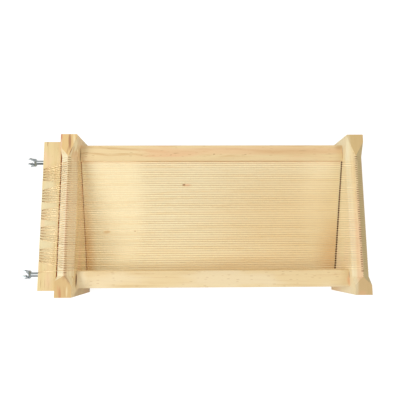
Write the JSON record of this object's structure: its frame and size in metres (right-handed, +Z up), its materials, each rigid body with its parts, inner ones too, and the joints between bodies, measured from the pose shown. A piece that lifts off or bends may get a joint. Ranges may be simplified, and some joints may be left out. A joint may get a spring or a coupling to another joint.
{
  "type": "pasta guitar",
  "caption": "Wooden pasta guitar: parallel steel wires strung over two ridged end posts, a sloping slide board below, and a loose bar drawn by two wing screws to tighten the wires.",
  "frame": {"origin": "on the table, at the middle of the whole object's length and width", "axes": "+X along the wires from the tension bar to the fixed end, -Y towards the low front edge of the slide board, +Z up"},
  "size_m": [0.442, 0.202, 0.09],
  "materials": {
    "post_wood": "bare, sanded, pale straight-grained beech",
    "rail_wood": "bare, planed, pale wavy-grained beech",
    "board_wood": "bare, planed, pale softwood panel",
    "wire_steel": "bright drawn stainless wire",
    "nail_steel": "dull bright wire nail",
    "screw_steel": "bright nickel plate",
    "zinc_steel": "zinc plate"
  },
  "bodies": {
    "frame": {"left_end_post": "post_wood", "right_end_post": "post_wood", "back_rail": "rail_wood", "front_rail": "rail_wood", "slide_board": "board_wood", "left_board_cleat": "rail_wood", "right_board_cleat": "rail_wood", "rail_screws": "zinc_steel", "rear_thrust_cup": "zinc_steel", "front_thrust_cup": "zinc_steel", "cutting_wires_1": "wire_steel", "cutting_wires_2": "wire_steel", "cutting_wires_3": "wire_steel", "cutting_wires_4": "wire_steel", "cutting_wires_5": "wire_steel", "fixed_wire_ends": "wire_steel", "post_nails": "nail_steel"},
    "tension_bar": {"tension_bar": "post_wood", "rear_tee_nut": "zinc_steel", "front_tee_nut": "zinc_steel", "bar_nails": "nail_steel", "tension_wire_ends": "wire_steel"},
    "rear_wing_screw": {"rear_wing_screw": "screw_steel"},
    "front_wing_screw": {"front_wing_screw": "screw_steel"}
  },
  "joints": [
    {"name": "front_screw_turn", "type": "hinge", "parent": "frame", "child": "front_wing_screw", "pos_m": [-0.1646, -0.0747, 0.045], "axis": [1, 0, 0], "range_deg": [-541, 721]},
    {"name": "rear_screw_turn", "type": "hinge", "parent": "frame", "child": "rear_wing_screw", "pos_m": [-0.1646, 0.0747, 0.045], "axis": [1, 0, 0], "range_deg": [-541, 721]},
    {"name": "bar_slide", "type": "slide", "parent": "frame", "child": "tension_bar", "axis": [-1, 0, 0], "range_m": [-0.0015, 0.002], "deforming": ["tension_wire_ends"]}
  ],
  "couplings": [
    {"joint": "front_screw_turn", "follows": "bar_slide", "rad_per_m": 6283.2},
    {"joint": "rear_screw_turn", "follows": "bar_slide", "rad_per_m": 6283.2}
  ]
}
